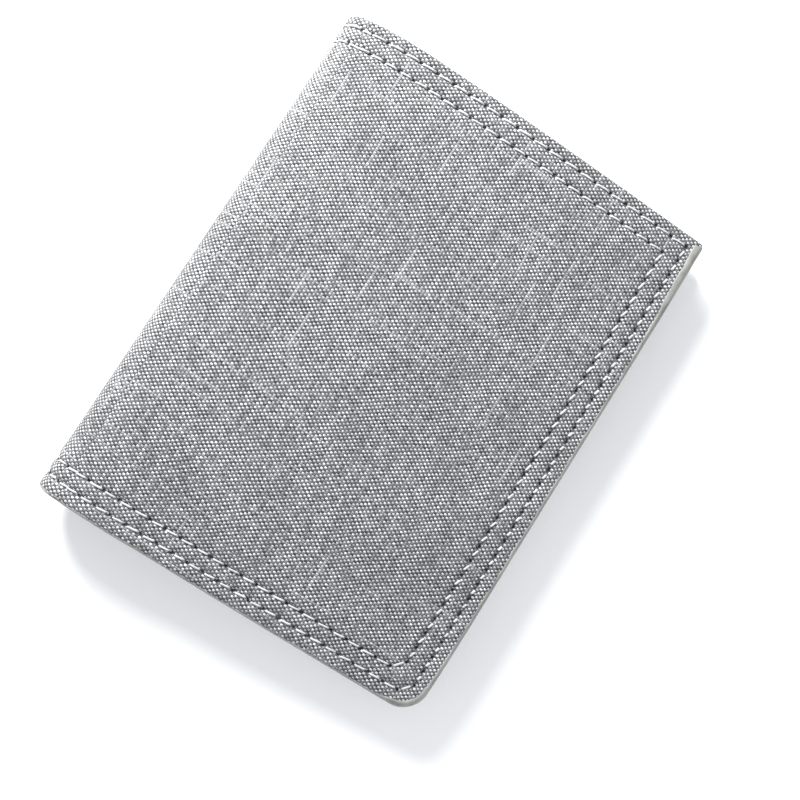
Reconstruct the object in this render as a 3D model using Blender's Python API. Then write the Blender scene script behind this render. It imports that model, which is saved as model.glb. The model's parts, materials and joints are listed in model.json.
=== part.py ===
"""Vertical bifold wallet, closed, lying on its back cover.

+X runs from the spine to the free edge, +Y to the open top edge and +Z up through the closed
wallet. The origin is the centre of the closed wallet's footprint, on the face it rests on.

Two leaves of flat layers are joined by two narrow spine strips and three hinges. Depth is
measured into each leaf from its own outer face, so one table of layers serves both leaves.
"""

import math

import bmesh
import bpy
from mathutils import Matrix, Vector

MM = 0.001
WELD = 0.001 * MM

# Closed size.
WIDTH = 93.0 * MM
HEIGHT = 120.0 * MM

# Sheets, from the outer face inwards.
COVER = 0.90 * MM
BOARD = 0.40 * MM
LINING = 0.25 * MM
PANEL = 0.35 * MM
POCKET = 0.30 * MM
FILM = 0.12 * MM
PAINT = 0.35 * MM
PLY_GAP = 0.30 * MM
NOTE_SLOT = 0.70 * MM
CARD_SLOT = 0.80 * MM
HALF_LEAF_GAP = 0.45 * MM

# Depth at which each layer of a leaf starts.
BOARD_DEPTH = COVER + PLY_GAP
NOTE_LINING_DEPTH = BOARD_DEPTH + BOARD + PLY_GAP
INNER_LINING_DEPTH = NOTE_LINING_DEPTH + LINING + NOTE_SLOT
PANEL_DEPTH = INNER_LINING_DEPTH + LINING + PLY_GAP
POCKET_PITCH = CARD_SLOT + POCKET
POCKET_DEPTHS = [PANEL_DEPTH + PANEL + CARD_SLOT + i * POCKET_PITCH for i in range(3)]
THICKNESS = 2 * (POCKET_DEPTHS[2] + POCKET + HALF_LEAF_GAP)

# Edges of the leaf.
FREE_X = WIDTH / 2
BOTTOM_Y = -HEIGHT / 2
TOP_Y = HEIGHT / 2
SHEET_GAP = 0.30 * MM
SHEET_X = FREE_X - PAINT - SHEET_GAP
SHEET_BOTTOM = BOTTOM_Y + PAINT + SHEET_GAP
INSIDE_TOP = TOP_Y - 4.0 * MM
BOTTOM_RADIUS = 6.0 * MM
TOP_RADIUS = 2.0 * MM
ARC_STEPS = 6

# The spine: three equal folds turn the cover by half a turn over two strips. It is narrower than
# the leaves are deep, so its hinges lie further in from a leaf's face than from a strip's.
FOLDS = 3
FOLD_ANGLE = math.pi / FOLDS
LEAF_HINGE_DEPTH = 2.3 * MM
STRIP_HINGE_DEPTH = 1.1 * MM
STRIP_LENGTH = (THICKNESS - 2 * LEAF_HINGE_DEPTH) / (2 * math.sin(FOLD_ANGLE))
FOLD_GAP = 0.30 * MM
MITRE = math.tan(FOLD_ANGLE / 2)
BULGE = STRIP_LENGTH * math.cos(FOLD_ANGLE)
CORNER = STRIP_HINGE_DEPTH * math.sin(FOLD_ANGLE) - FOLD_GAP * math.cos(FOLD_ANGLE)
FOLD_X = -WIDTH / 2 + CORNER + BULGE
SPINE_NOTE_LINING_DEPTH = COVER + PLY_GAP
SPINE_INNER_LINING_DEPTH = SPINE_NOTE_LINING_DEPTH + LINING + PLY_GAP

# How far each layer of a leaf starts past the fold line, clear of the strips' own linings.
LINING_CLEARANCE = 0.8 * MM
BOARD_CLEARANCE = 2.0 * MM
SEAM_SETBACK = 0.5 * MM
COVER_START = FOLD_X + FOLD_GAP
SEAM_START = COVER_START + SEAM_SETBACK
INNER_START = FOLD_X + LINING_CLEARANCE
BOARD_START = FOLD_X + BOARD_CLEARANCE

# Pockets are cut a little smaller than the sheets they are sewn to.
POCKET_INSET = 0.45 * MM
POCKET_END = SHEET_X - POCKET_INSET
POCKET_BOTTOM = SHEET_BOTTOM + POCKET_INSET
POCKET_RADIUS = BOTTOM_RADIUS - POCKET_INSET
SMALL_RADIUS = 0.5 * MM

# Top hem of the cover, and the board that stops below it and short of the seams.
HEM_WIDTH = 9.0 * MM
BOARD_MARGIN = 9.0 * MM
BOARD_TO_HEM = 1.0 * MM
BOARD_END = FREE_X - BOARD_MARGIN
BOARD_BOTTOM = BOTTOM_Y + BOARD_MARGIN
BOARD_TOP = TOP_Y - HEM_WIDTH - BOARD_TO_HEM

# Seams: distance of each row from the free edge, the bottom edge and the top edge.
OUTER_ROW = {"side": 3.6 * MM, "bottom": 3.6 * MM, "top": 2.8 * MM, "radii": (3.0 * MM, 1.0 * MM)}
INNER_ROW = {"side": 7.6 * MM, "bottom": 7.4 * MM, "top": 6.8 * MM, "radii": (1.5 * MM, 0.5 * MM)}
THREAD_RADIUS = 0.20 * MM
THREAD_DEPTH = 0.20 * MM
GROOVE_RADIUS = 0.45 * MM
FINE_THREAD_RADIUS = 0.11 * MM
FINE_THREAD_LIFT = 0.26 * MM
CORD_RESOLUTION = 2

# Pocket mouths, by height, from the rearmost pocket to the one nearest the fold.
BACK_MOUTHS = [31.0 * MM, 14.0 * MM, -3.0 * MM]
FRONT_MOUTHS = [35.0 * MM, 19.0 * MM, 3.0 * MM]
MOUTH_SEAM = 2.0 * MM
MOUTH_SEAM_END = 5.0 * MM
INSIDE_SEAM_START = 2.0 * MM
INSIDE_SEAM_TOP = 1.5 * MM
INSIDE_SEAM_RUN_UP = 1.0 * MM
SPINE_SIDE_SEAM = 0.7 * MM
SPINE_SIDE_SEAM_BOTTOM = 3.0 * MM
STEP_CLEARANCE = 0.45 * MM
WINDOW_SIDE = 8.5 * MM
WINDOW_BOTTOM = 10.0 * MM
WINDOW_TOP = 9.0 * MM
WINDOW_RADIUS = 3.0 * MM
FILM_LAP = 3.0 * MM

CANVAS = ("canvas", (0.36, 0.37, 0.38), 0.85)
DARK_LINING = ("lining", (0.055, 0.058, 0.065), 0.70)
BOARD_GREY = ("board", (0.42, 0.38, 0.32), 0.90)
THREAD = ("thread", (0.55, 0.56, 0.57), 0.60)
EDGE_PAINT = ("edge_paint", (0.33, 0.33, 0.31), 0.45)
CLEAR_FILM = ("clear_film", (0.80, 0.83, 0.85), 0.10)


def clear_scene():
    for obj in list(bpy.data.objects):
        bpy.data.objects.remove(obj)


def new_collection(name):
    collection = bpy.data.collections.new(name)
    bpy.context.scene.collection.children.link(collection)
    return collection


def material(finish):
    """A Principled material for a (name, colour, roughness) finish, made once."""
    name, colour, roughness = finish
    found = bpy.data.materials.get(name)
    if found:
        return found
    made = bpy.data.materials.new(name)
    made.use_nodes = True
    shader = made.node_tree.nodes["Principled BSDF"]
    shader.inputs["Base Color"].default_value = (*colour, 1.0)
    shader.inputs["Roughness"].default_value = roughness
    shader.inputs["Metallic"].default_value = 0.0
    return made


def arc(centre, radius, start, end, steps=ARC_STEPS):
    """Points on an arc from one angle to another, in degrees."""
    angles = [math.radians(start + (end - start) * i / steps) for i in range(steps + 1)]
    return [(centre[0] + radius * math.cos(a), centre[1] + radius * math.sin(a)) for a in angles]


def leaf_outline(x0, x1, y0, y1, bottom_radius, top_radius):
    """A leaf-shaped outline: square at the fold, rounded at the two free corners."""
    points = [(x0, y0)]
    points += arc((x1 - bottom_radius, y0 + bottom_radius), bottom_radius, -90, 0)
    points += arc((x1 - top_radius, y1 - top_radius), top_radius, 0, 90)
    return points + [(x0, y1)]


def curve_object(name, loops, dimensions, cyclic):
    """A curve object holding one POLY spline for each loop of points."""
    data = bpy.data.curves.new(name, "CURVE")
    data.dimensions = dimensions
    for loop in loops:
        spline = data.splines.new("POLY")
        spline.points.add(len(loop) - 1)
        for point, place in zip(spline.points, loop):
            point.co = (*place, 0.0, 1.0) if len(place) == 2 else (*place, 1.0)
        spline.use_cyclic_u = cyclic
    return bpy.data.objects.new(name, data)


def flat_sheet(name, loops, thickness):
    """A sheet of even thickness about z = 0, from its outline and any holes."""
    obj = curve_object(name, loops, "2D", cyclic=True)
    obj.data.fill_mode = "BOTH"
    obj.data.extrude = thickness / 2
    return obj


def cord(name, path, radius):
    """A round cord with closed ends along a path."""
    obj = curve_object(name, [path], "3D", cyclic=False)
    obj.data.bevel_depth = radius
    obj.data.bevel_resolution = CORD_RESOLUTION
    obj.data.use_fill_caps = True
    return obj


def as_mesh(obj):
    """The curve object's solid as a mesh object with welded caps; the curve is removed."""
    bpy.context.scene.collection.objects.link(obj)
    bpy.context.view_layer.update()
    graph = bpy.context.evaluated_depsgraph_get()
    mesh = bpy.data.meshes.new_from_object(obj.evaluated_get(graph))
    weld = bmesh.new()
    weld.from_mesh(mesh)
    bmesh.ops.remove_doubles(weld, verts=weld.verts, dist=WELD)
    bmesh.ops.recalc_face_normals(weld, faces=weld.faces)
    weld.to_mesh(mesh)
    weld.free()
    made = bpy.data.objects.new(obj.name, mesh)
    made.matrix_world = obj.matrix_world
    name = obj.name
    bpy.data.objects.remove(obj)
    made.name = name
    return made


class Body:
    """A rigid group of pieces: an empty on the body's hinge axis, and what hangs from it."""

    def __init__(self, name, hinge, parent=None, turn=0.0):
        self.empty = bpy.data.objects.new(name, None)
        WALLET.objects.link(self.empty)
        self.world = Matrix.Translation(hinge) @ Matrix.Rotation(turn, 4, "Y")
        self.empty.matrix_world = self.world
        if parent:
            self.empty.parent = parent.empty
            self.empty.matrix_parent_inverse = parent.world.inverted()

    def add(self, obj, finish, place=None):
        """Hangs a piece from the body, at a place in world space."""
        if obj.name not in WALLET.objects:
            WALLET.objects.link(obj)
        obj.data.materials.append(material(finish))
        obj.parent = self.empty
        obj.matrix_parent_inverse = self.world.inverted()
        obj.matrix_basis = place if place is not None else Matrix.Identity(4)
        return obj


class Leaf:
    """One leaf of the wallet. Side -1 is the back leaf, which lies down, and +1 the front."""

    def __init__(self, name, side, body):
        self.name, self.side, self.body = name, side, body

    def z(self, depth):
        return depth if self.side < 0 else THICKNESS - depth

    def sheet(self, part, loops, depth, thickness, finish):
        obj = flat_sheet(f"{self.name}_{part}", loops, thickness)
        place = Matrix.Translation((0, 0, self.z(depth + thickness / 2)))
        return self.body.add(obj, finish, place)

    def cord(self, part, path, radius, finish=THREAD):
        """A cord through (x, y, depth) points."""
        points = [(x, y, self.z(depth)) for x, y, depth in path]
        return self.body.add(cord(f"{self.name}_{part}", points, radius), finish)


def seam_path(row, start_x, depth):
    """A seam row along the top, down the free side and back along the bottom."""
    x1, y0, y1 = FREE_X - row["side"], BOTTOM_Y + row["bottom"], TOP_Y - row["top"]
    bottom_radius, top_radius = row["radii"]
    points = leaf_outline(start_x, x1, y0, y1, bottom_radius, top_radius)
    return [(x, y, depth) for x, y in points]


def cover(leaf):
    """The canvas panel, grooved for its two seams."""
    outline = leaf_outline(COVER_START, SHEET_X, SHEET_BOTTOM, TOP_Y, BOTTOM_RADIUS, TOP_RADIUS)
    panel = as_mesh(flat_sheet(f"{leaf.name}_cover", [outline], COVER))
    leaf.body.add(panel, CANVAS, Matrix.Translation((0, 0, leaf.z(COVER / 2))))
    for label, row in (("outer", OUTER_ROW), ("inner", INNER_ROW)):
        path = seam_path(row, FOLD_X - COVER, THREAD_DEPTH)
        points = [(x, y, leaf.z(depth)) for x, y, depth in path]
        groove = as_mesh(cord(f"{leaf.name}_{label}_groove", points, GROOVE_RADIUS))
        CUTTERS.objects.link(groove)
        groove.hide_render = True
        groove.display_type = "WIRE"
        cut = panel.modifiers.new(f"{label}_groove", "BOOLEAN")
        cut.operation = "DIFFERENCE"
        cut.object = groove
        leaf.cord(f"{label}_seam", seam_path(row, SEAM_START, THREAD_DEPTH), THREAD_RADIUS)


def top_hem(leaf):
    outline = leaf_outline(INNER_START, SHEET_X, TOP_Y - HEM_WIDTH, TOP_Y, SMALL_RADIUS, TOP_RADIUS)
    leaf.sheet("top_hem", [outline], BOARD_DEPTH, BOARD, CANVAS)


def inner_layers(leaf):
    """Stiffening board, both linings and the card panel."""
    board = leaf_outline(BOARD_START, BOARD_END, BOARD_BOTTOM, BOARD_TOP, TOP_RADIUS, TOP_RADIUS)
    leaf.sheet("stiffener", [board], BOARD_DEPTH, BOARD, BOARD_GREY)
    for part, top, depth, thickness, finish in (
        ("note_lining", TOP_Y - PAINT, NOTE_LINING_DEPTH, LINING, DARK_LINING),
        ("inner_lining", INSIDE_TOP, INNER_LINING_DEPTH, LINING, DARK_LINING),
        ("card_panel", INSIDE_TOP, PANEL_DEPTH, PANEL, CANVAS),
    ):
        outline = leaf_outline(INNER_START, SHEET_X, SHEET_BOTTOM, top, BOTTOM_RADIUS, TOP_RADIUS)
        leaf.sheet(part, [outline], depth, thickness, finish)


def edge_paint(leaf):
    """The painted edge: a band round the free side and the bottom, as deep as the sewn plies."""
    inner_radius = BOTTOM_RADIUS + SHEET_GAP
    outer_radius = inner_radius + PAINT
    inner_x, inner_y = FREE_X - PAINT, BOTTOM_Y + PAINT
    outside = leaf_outline(INNER_START, FREE_X, BOTTOM_Y, TOP_Y, outer_radius, TOP_RADIUS)
    inside = leaf_outline(INNER_START, inner_x, inner_y, TOP_Y, inner_radius, TOP_RADIUS)
    stop = TOP_Y - TOP_RADIUS
    band = [p for p in outside if p[1] <= stop] + [p for p in reversed(inside) if p[1] <= stop]
    depth = PANEL_DEPTH + PANEL
    leaf.sheet("edge_paint", [band], 0.0, depth, EDGE_PAINT)


def pocket_outline(mouth):
    return leaf_outline(INNER_START, POCKET_END, POCKET_BOTTOM, mouth, POCKET_RADIUS, SMALL_RADIUS)


def mouth_thread(leaf, part, mouth, depth):
    y, inner_face = mouth - MOUTH_SEAM, depth + POCKET + FINE_THREAD_LIFT
    path = [(INNER_START + INSIDE_SEAM_START, y, inner_face), (FREE_X - MOUTH_SEAM_END, y, inner_face)]
    leaf.cord(part, path, FINE_THREAD_RADIUS)


def card_pocket(leaf, number, mouth):
    depth = POCKET_DEPTHS[number - 1]
    leaf.sheet(f"pocket_{number}", [pocket_outline(mouth)], depth, POCKET, CANVAS)
    mouth_thread(leaf, f"pocket_{number}_thread", mouth, depth)


def window_pocket(leaf, mouth):
    """The pocket nearest the fold, with a clear window let into it."""
    x0, x1 = INNER_START + WINDOW_SIDE, POCKET_END - WINDOW_SIDE
    y0, y1 = POCKET_BOTTOM + WINDOW_BOTTOM, mouth - WINDOW_TOP
    r = WINDOW_RADIUS
    hole = arc((x0 + r, y0 + r), r, 180, 270) + arc((x1 - r, y0 + r), r, 270, 360)
    hole += arc((x1 - r, y1 - r), r, 0, 90) + arc((x0 + r, y1 - r), r, 90, 180)
    depth = POCKET_DEPTHS[2]
    leaf.sheet("window_frame", [pocket_outline(mouth), hole], depth, POCKET, CANVAS)
    mouth_thread(leaf, "window_thread", mouth, depth)
    film = leaf_outline(x0 - FILM_LAP, x1 + FILM_LAP, y0 - FILM_LAP, y1 + FILM_LAP, r, r)
    film_depth = depth - FILM - SHEET_GAP
    leaf.sheet("window_film", [film], film_depth, FILM, CLEAR_FILM)


def stepped_side(mouths, x, top, start_y):
    """(x, y, depth) points up one side of the pockets, dropping off each mouth in turn."""
    lift = FINE_THREAD_LIFT
    levels = [depth + POCKET + lift for depth in reversed(POCKET_DEPTHS)] + [PANEL_DEPTH + PANEL + lift]
    points = [(x, start_y, levels[0])]
    for mouth, level, lower in zip(reversed(mouths), levels, levels[1:]):
        points += [(x, mouth + STEP_CLEARANCE, level), (x, mouth + STEP_CLEARANCE + POCKET, lower)]
    return points + [(x, top, levels[-1])]


def inside_seams(leaf, mouths):
    """The bobbin side of the outer seam, and the seam that closes the pockets by the spine."""
    x1, y0 = FREE_X - OUTER_ROW["side"], BOTTOM_Y + OUTER_ROW["bottom"]
    radius = OUTER_ROW["radii"][0]
    level = POCKET_DEPTHS[2] + POCKET + FINE_THREAD_LIFT
    path = [(INNER_START + INSIDE_SEAM_START, y0, level)]
    path += [(x, y, level) for x, y in arc((x1 - radius, y0 + radius), radius, -90, 0)]
    top = INSIDE_TOP - INSIDE_SEAM_TOP
    path += stepped_side(mouths, x1, top, y0 + radius + INSIDE_SEAM_RUN_UP)
    leaf.cord("inside_seam", path, FINE_THREAD_RADIUS)
    bottom = POCKET_BOTTOM + SPINE_SIDE_SEAM_BOTTOM
    side = stepped_side(mouths, INNER_START + SPINE_SIDE_SEAM, top, bottom)
    leaf.cord("spine_side_seam", side, FINE_THREAD_RADIUS)


def build_leaf(leaf, mouths, has_window):
    cover(leaf)
    top_hem(leaf)
    inner_layers(leaf)
    edge_paint(leaf)
    card_pockets = mouths[:2] if has_window else mouths
    for number, mouth in enumerate(card_pockets, 1):
        card_pocket(leaf, number, mouth)
    if has_window:
        window_pocket(leaf, mouths[2])
    inside_seams(leaf, mouths)


def strip_sheet(body, name, depth, thickness, y0, y1, finish):
    """One layer of a spine strip, cut short where its depth would press on the next strip.

    The strip's own frame has X along the strip from its hinge and Z towards the outer face."""
    corners = []
    for level_depth in (depth, depth + thickness):
        trim = FOLD_GAP + max(0.0, level_depth - STRIP_HINGE_DEPTH) * MITRE
        level = STRIP_HINGE_DEPTH - level_depth
        corners.append((trim, level))
        corners.append((STRIP_LENGTH - trim, level))
    outline = [corners[0], corners[1], corners[3], corners[2]]
    sheet = flat_sheet(name, [outline], y1 - y0)
    upright = Matrix.Rotation(math.pi / 2, 4, "X")
    middle = Matrix.Translation((0, (y0 + y1) / 2, 0))
    body.add(sheet, finish, body.world @ middle @ upright)


def build_strip(name, body):
    for part, depth, thickness, y0, y1, finish in (
        ("cover", 0.0, COVER, SHEET_BOTTOM, TOP_Y, CANVAS),
        ("note_lining", SPINE_NOTE_LINING_DEPTH, LINING, SHEET_BOTTOM, TOP_Y - PAINT, DARK_LINING),
        ("inner_lining", SPINE_INNER_LINING_DEPTH, LINING, SHEET_BOTTOM, INSIDE_TOP, DARK_LINING),
        ("edge_paint", 0.0, SPINE_INNER_LINING_DEPTH + LINING, BOTTOM_Y, BOTTOM_Y + PAINT, EDGE_PAINT),
    ):
        strip_sheet(body, f"{name}_{part}", depth, thickness, y0, y1, finish)


def strip_heading(number):
    """Direction of a strip in the X-Z plane, counting the back leaf as strip 0."""
    return math.pi - number * FOLD_ANGLE


def hinge_points():
    """The hinge axes, from the back leaf to the front."""
    points = [Vector((FOLD_X, 0, LEAF_HINGE_DEPTH))]
    for number in range(1, FOLDS):
        heading = strip_heading(number)
        step = Vector((math.cos(heading), 0, math.sin(heading))) * STRIP_LENGTH
        points.append(points[-1] + step)
    return points


clear_scene()
WALLET = new_collection("bifold_wallet")
CUTTERS = new_collection("cutters")

hinges = hinge_points()
back_body = Body("back_leaf", Vector((0, 0, 0)))
carrier = back_body
for number, strip_name in enumerate(("spine_back", "spine_front"), 1):
    carrier = Body(f"{strip_name}_strip", hinges[number - 1], carrier, -strip_heading(number))
    build_strip(strip_name, carrier)
front_body = Body("front_leaf", hinges[-1], carrier)

build_leaf(Leaf("back", -1, back_body), BACK_MOUTHS, has_window=False)
build_leaf(Leaf("front", 1, front_body), FRONT_MOUTHS, has_window=True)
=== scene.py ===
import json
import math

import bmesh
import bpy
import numpy as np
from mathutils import Matrix, Vector


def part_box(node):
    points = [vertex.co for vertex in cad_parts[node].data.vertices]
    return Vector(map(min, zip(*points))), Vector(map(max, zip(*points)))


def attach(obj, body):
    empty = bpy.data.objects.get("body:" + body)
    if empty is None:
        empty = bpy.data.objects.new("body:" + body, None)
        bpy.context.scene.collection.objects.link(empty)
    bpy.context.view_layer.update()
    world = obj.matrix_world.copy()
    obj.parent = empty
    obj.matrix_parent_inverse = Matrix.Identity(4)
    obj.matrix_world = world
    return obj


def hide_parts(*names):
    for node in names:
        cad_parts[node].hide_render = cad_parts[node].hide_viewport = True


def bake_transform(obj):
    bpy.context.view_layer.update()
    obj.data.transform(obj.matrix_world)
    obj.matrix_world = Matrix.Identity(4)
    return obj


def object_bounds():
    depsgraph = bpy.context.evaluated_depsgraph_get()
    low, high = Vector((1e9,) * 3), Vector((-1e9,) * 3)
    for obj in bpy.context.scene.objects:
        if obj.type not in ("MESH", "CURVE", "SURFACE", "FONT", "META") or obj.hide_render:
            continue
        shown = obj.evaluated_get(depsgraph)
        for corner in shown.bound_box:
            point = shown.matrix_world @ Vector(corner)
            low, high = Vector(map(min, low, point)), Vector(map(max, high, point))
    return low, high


# The finished surfaces of the wallet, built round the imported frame.
#
# Everything sewn through the spine is laid out on one unrolled sheet: "run" is the distance along
# the cover from the middle of the spine, negative on the back leaf and positive on the front, y is
# the height on the wallet, and "depth" is the distance below the cover's outer face.

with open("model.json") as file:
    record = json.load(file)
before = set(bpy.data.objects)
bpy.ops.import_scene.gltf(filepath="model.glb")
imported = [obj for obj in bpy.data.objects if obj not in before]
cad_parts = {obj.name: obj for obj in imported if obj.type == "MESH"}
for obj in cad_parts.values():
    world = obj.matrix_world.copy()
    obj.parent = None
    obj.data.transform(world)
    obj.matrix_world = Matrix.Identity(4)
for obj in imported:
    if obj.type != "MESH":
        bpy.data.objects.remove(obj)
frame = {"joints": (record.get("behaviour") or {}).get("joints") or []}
CAD_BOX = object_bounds()

MM = 0.001

# The frame's own places.
LOW, HIGH = CAD_BOX
THICKNESS = HIGH.z - LOW.z
FREE_X, BOTTOM_Y, TOP_Y = HIGH.x, LOW.y, HIGH.y
HINGES = [Vector(joint["pos_m"]) for joint in frame["joints"]]
MIDDLE_Z = HINGES[1].z
SPINE_X = HINGES[1].x + (HINGES[1] - HINGES[0]).length

# The cover dips towards the spine and turns round it.
DIP = 1.2 * MM
DIP_RUN = 17.0 * MM
DIP_TILT = math.atan(2 * DIP / DIP_RUN)
SPINE_RADIUS = (THICKNESS / 2 - DIP) / math.cos(DIP_TILT)
JOIN_X = SPINE_X - SPINE_RADIUS * math.sin(DIP_TILT)
JOIN_RUN = SPINE_RADIUS * (math.pi / 2 + DIP_TILT)
PEAK_X = JOIN_X + DIP_RUN
END_RUN = JOIN_RUN + FREE_X - JOIN_X
SPLIT_ANGLE = math.pi / 6
SPLIT_RUN = SPINE_RADIUS * SPLIT_ANGLE

# How far the leaves fall away from their flat planes at the sewn edges.
FRONT_DROP = 3.8 * MM
BACK_DROP = 2.6 * MM
DROP_START = JOIN_X + 10.0 * MM
DROP_POWER = 1.35
BOTTOM_DROP = 1.6 * MM
BOTTOM_REACH = 22.0 * MM
TOP_DROP = 0.6 * MM
TOP_REACH = 15.0 * MM
DROP_FADE = 25.0 * MM
MOST_DROP = 4.4 * MM
WAVE = 0.10 * MM

# The outward curve of the hem, and the weaker one of the bottom edge.
BOW = 0.75 * MM
BOW_REACH = 30.0 * MM
BOW_SKEW = 0.6
BOW_END = 0.4
BOTTOM_BOW = 0.25

# Plies, the air between them where they are not sewn, and the gaps where they are pressed together.
CANVAS_PLY = 0.45 * MM
COVER_DEPTH = 0.95 * MM
LINING_PLY = 0.25 * MM
PANEL_PLY = 0.35 * MM
POCKET_PLY = 0.30 * MM
FILM_PLY = 0.12 * MM
BOARD_PLY = 0.40 * MM
BOARD_AIR = 0.60 * MM
SPINE_AIR = 0.20 * MM
NOTE_AIR = 1.00 * MM
NOTE_AIR_AT_SPINE = 0.3
PANEL_AIR = 0.20 * MM
CARD_AIR = 0.80 * MM
LINING_GAP = 0.03 * MM
PANEL_GAP = 0.05 * MM
POCKET_GAP = 0.02 * MM
SEWN_MARGIN = 4.0 * MM
LOOSE_REACH = 12.0 * MM
HEM_RISE = 3.0 * MM
SPINE_AIR_REACH = 4.0 * MM
CARD_SETBACK = 1.5 * MM

# Outline, hem and painted edge.
CORNER_C = 6.0 * MM
CORNER_B = 1.1 * MM
ROLL = 0.75 * MM
HEM = 9.0 * MM
EDGE_RADIUS = 1.35 * MM
PAINT = 0.12 * MM
CLOTH_INSET = 0.45 * MM
LINING_INSET = 0.9 * MM
INSIDE_TOP = TOP_Y - 4.0 * MM
INSIDE_INSET = 1.0 * MM
CARD_X = JOIN_X + 1.2 * MM

# Seams.
GROOVE = 0.36 * MM
GROOVE_WIDTH = 0.55 * MM
HOLE = 0.42 * MM
HOLE_WIDTH = 0.34 * MM
PUCKER = 0.05 * MM
PUCKER_WIDTH = 1.6 * MM
HALF_STITCH = 1.8 * MM
PILLOW = 0.16 * MM
PILLOW_START = 1.8 * MM
PILLOW_REACH = 3.5 * MM
CHAMFER = 2.6 * MM
THREAD = 0.23 * MM
FINE_THREAD = 0.15 * MM
FINE_PITCH = 3.0 * MM

# The stiffening board showing faintly through the cover.
BOARD_SHOWS = 0.07 * MM
BOARD_SOFT = 2.0 * MM

LEAF_NAMES = {-1: "back", 1: "front"}

# Pockets and the heights of their mouths, from the one by the panel to the one nearest the fold.
POCKETS = {
    -1: ("back_pocket_1", "back_pocket_2", "back_pocket_3"),
    1: ("front_pocket_1", "front_pocket_2", "front_window_frame"),
}
MOUTHS = {side: [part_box(node)[1].y for node in nodes] for side, nodes in POCKETS.items()}

WARP_PITCH = 0.68 * MM
WEFT_PITCH = 0.47 * MM

FAR_AWAY = 1.0


def smooth(t):
    t = np.clip(t, 0.0, 1.0)
    return t * t * (3 - 2 * t)


def along_x(run):
    return JOIN_X + np.abs(run) - JOIN_RUN


def run_at(x):
    return JOIN_RUN + x - JOIN_X


def outer_drop(run, y):
    """How far the cover's outer face lies below the leaf's flat outer plane."""
    x = along_x(run)
    most = np.where(run > 0, FRONT_DROP, BACK_DROP)
    free = most * np.clip((x - DROP_START) / (FREE_X - DROP_START), 0, None) ** DROP_POWER
    bottom = BOTTOM_DROP * np.clip(1 - (y - BOTTOM_Y) / BOTTOM_REACH, 0, None) ** 2
    top = TOP_DROP * np.clip(1 - (TOP_Y - y) / TOP_REACH, 0, None) ** 2
    wave = WAVE * (np.sin(x * 95 + y * 41 + 0.6) * np.sin(y * 73 - x * 22) + 1)
    ends = smooth((x - JOIN_X) / DROP_FADE) * (bottom + top + wave)
    return DIP * np.clip((PEAK_X - x) / DIP_RUN, 0, None) ** 2 + free + ends


def bow(x, y):
    """How far the hem and the bottom edge curve outwards between the spine and the free side."""
    t = np.clip((x - JOIN_X) / (FREE_X - JOIN_X), 0, 1)
    curve = np.sin(math.pi * t**BOW_SKEW)
    near_top = smooth((y - TOP_Y) / BOW_REACH + 1)
    near_bottom = smooth((BOTTOM_Y - y) / BOW_REACH + 1)
    return BOW * ((curve + BOW_END * t) * near_top - BOTTOM_BOW * curve * near_bottom)


def wrap(run, y, depth):
    """World points for places on the unrolled sheet."""
    run, y, depth = np.broadcast_arrays(run, y, depth)
    side = np.where(run < 0, -1.0, 1.0)
    x = along_x(run)
    tilt = np.clip(2 * DIP * (PEAK_X - x) / DIP_RUN**2, 0, None)
    leaf_z = MIDDLE_Z + side * (THICKNESS / 2 - outer_drop(run, y) - depth)
    angle = np.abs(run) / SPINE_RADIUS
    radius = SPINE_RADIUS - depth
    round_x = SPINE_X - radius * np.cos(angle)
    round_z = MIDDLE_Z + side * radius * np.sin(angle)
    on_leaf = np.abs(run) > JOIN_RUN
    points_x = np.where(on_leaf, x + depth * tilt, round_x)
    points_z = np.where(on_leaf, leaf_z, round_z)
    return np.stack([points_x, y + bow(x, y), points_z], axis=-1)


def edge_distance(run, y):
    """Distance inwards from the painted outline along the free side and the bottom."""
    side = END_RUN - np.abs(run)
    bottom = y - BOTTOM_Y
    corner = CORNER_C - np.hypot(CORNER_C - side, CORNER_C - bottom)
    return np.where((side < CORNER_C) & (bottom < CORNER_C), corner, np.minimum(side, bottom))


def layer_depths(run, y):
    """Depth of the outer side of each inner ply."""
    x = along_x(run)
    squeeze = np.clip(1 - outer_drop(run, y) / MOST_DROP, 0, 1)
    loose = smooth((edge_distance(run, y) - SEWN_MARGIN) / LOOSE_REACH) * squeeze
    off_spine = smooth((x - JOIN_X) / LOOSE_REACH)
    in_hem = smooth((y - (TOP_Y - HEM - HEM_RISE)) / HEM_RISE)
    spine_air = SPINE_AIR * (1 - smooth((x - JOIN_X) / SPINE_AIR_REACH))
    board_air = np.maximum(BOARD_AIR * np.maximum(loose * off_spine, in_hem), spine_air)
    card = loose * smooth((x - CARD_X - CARD_SETBACK) / LOOSE_REACH)
    note = COVER_DEPTH + board_air
    note_air = NOTE_AIR * loose * (NOTE_AIR_AT_SPINE + (1 - NOTE_AIR_AT_SPINE) * off_spine)
    inner = note + LINING_PLY + note_air + LINING_GAP
    panel = inner + LINING_PLY + PANEL_GAP + PANEL_AIR * card
    depths = {"note_lining": note, "inner_lining": inner, "card_panel": panel}
    level = panel + PANEL_PLY
    for number in (1, 2, 3):
        level = level + POCKET_GAP + CARD_AIR * card
        depths[f"pocket_{number}"] = level
        level = level + POCKET_PLY
    return depths


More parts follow.
